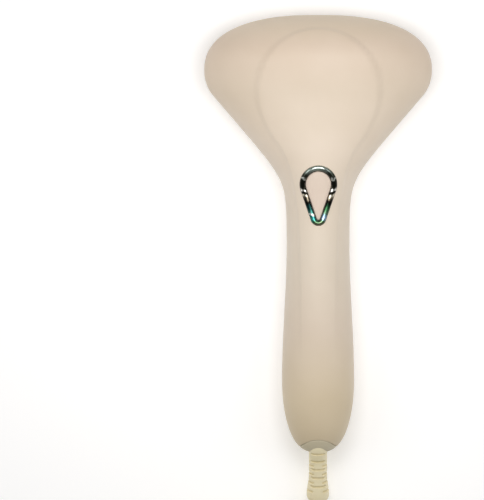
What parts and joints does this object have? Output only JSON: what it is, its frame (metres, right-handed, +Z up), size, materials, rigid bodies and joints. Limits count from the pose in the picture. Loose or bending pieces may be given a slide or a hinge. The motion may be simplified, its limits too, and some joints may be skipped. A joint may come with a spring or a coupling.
{
  "type": "handheld garment steamer",
  "caption": "Handheld garment steamer: fan-shaped steam head with a pressing plate, slim grip, teardrop steam button in a polished ring, ribbed lead guard, coiled mains lead.",
  "frame": {"origin": "on the resting surface, under the middle of the casing's length and width; the lead is not counted", "axes": "+Z up, out of the casing's front; +Y towards the steam head; +X to the right as seen from the front"},
  "size_m": [0.1578, 0.3885, 0.045],
  "materials": {
    "soft_shell": "soft-touch moulded ABS, warm beige",
    "button_plastic": "moulded ABS with the casing's soft-touch coat",
    "polished_ring": "mirror-plated ABS with a thin tinted film",
    "guard_rubber": "moulded flexible PVC",
    "lead_sheath": "extruded PVC sheath",
    "tie_plastic": "woven hook-and-loop strap",
    "nickel_brass": "nickel-plated brass pins",
    "pressed_plate": "brushed and anodised pressed aluminium",
    "frame_plastic": "heat-resistant moulded plastic",
    "silicone": "moulded silicone rubber",
    "cast_aluminium": "die-cast",
    "zinc_steel": "zinc-plated steel",
    "steel_tube": "stainless steel",
    "shield_sheet": "rolled sheet",
    "tank_plastic": "clear blow-moulded plastic",
    "black_plastic": "moulded PBT",
    "board_laminate": "glass-epoxy laminate",
    "wire_sheath": "silicone-insulated wire"
  },
  "bodies": {
    "casing": {"front_shell": "soft_shell", "rear_shell": "soft_shell", "button_bezel": "polished_ring", "cord_end_cap": "soft_shell", "strain_relief": "guard_rubber", "power_cord": "lead_sheath", "cord_coil": "lead_sheath", "coil_tie": "tie_plastic", "plug_body": "lead_sheath", "plug_pins": "nickel_brass", "steam_plate": "pressed_plate", "plate_frame": "frame_plastic", "plate_gasket": "silicone", "boiler_block": "cast_aluminium", "boiler_screws": "zinc_steel", "heating_element": "steel_tube", "thermostat": "steel_tube", "thermal_fuse": "steel_tube", "heat_shield": "shield_sheet", "water_tank": "tank_plastic", "suction_hose": "silicone", "pickup_weight": "steel_tube", "pump_body": "black_plastic", "piston_spring": "zinc_steel", "check_valve": "black_plastic", "feed_hose": "silicone", "control_board": "board_laminate", "micro_switch": "black_plastic", "button_spring": "zinc_steel", "terminal_block": "tank_plastic", "cord_clamp": "black_plastic", "clamp_screws": "zinc_steel", "mains_wires": "wire_sheath", "heater_wires": "wire_sheath", "shell_screws": "zinc_steel"},
    "button": {"steam_button": "button_plastic"},
    "plunger": {"switch_plunger": "black_plastic"},
    "stopper": {"fill_plug": "silicone"},
    "piston": {"pump_piston": "steel_tube"}
  },
  "joints": [
    {"name": "button_press", "type": "slide", "parent": "casing", "child": "button", "axis": [0, 0, -1], "range_m": [0, 0.0015], "stiffness_N_per_m": 800, "springref_m": -0.001, "deforming": ["button_spring"]},
    {"name": "plunger_press", "type": "slide", "parent": "casing", "child": "plunger", "axis": [0, 0, -1], "range_m": [0, 0.0015]},
    {"name": "stopper_pull", "type": "slide", "parent": "casing", "child": "stopper", "axis": [0, 0, -1], "range_m": [0, 0.011]},
    {"name": "piston_stroke", "type": "slide", "parent": "casing", "child": "piston", "axis": [0, 1, 0], "range_m": [0, 0.0025], "stiffness_N_per_m": 400, "springref_m": -0.0005, "deforming": ["piston_spring"]}
  ],
  "couplings": [
    {"joint": "plunger_press", "follows": "button_press", "ratio": 1}
  ]
}
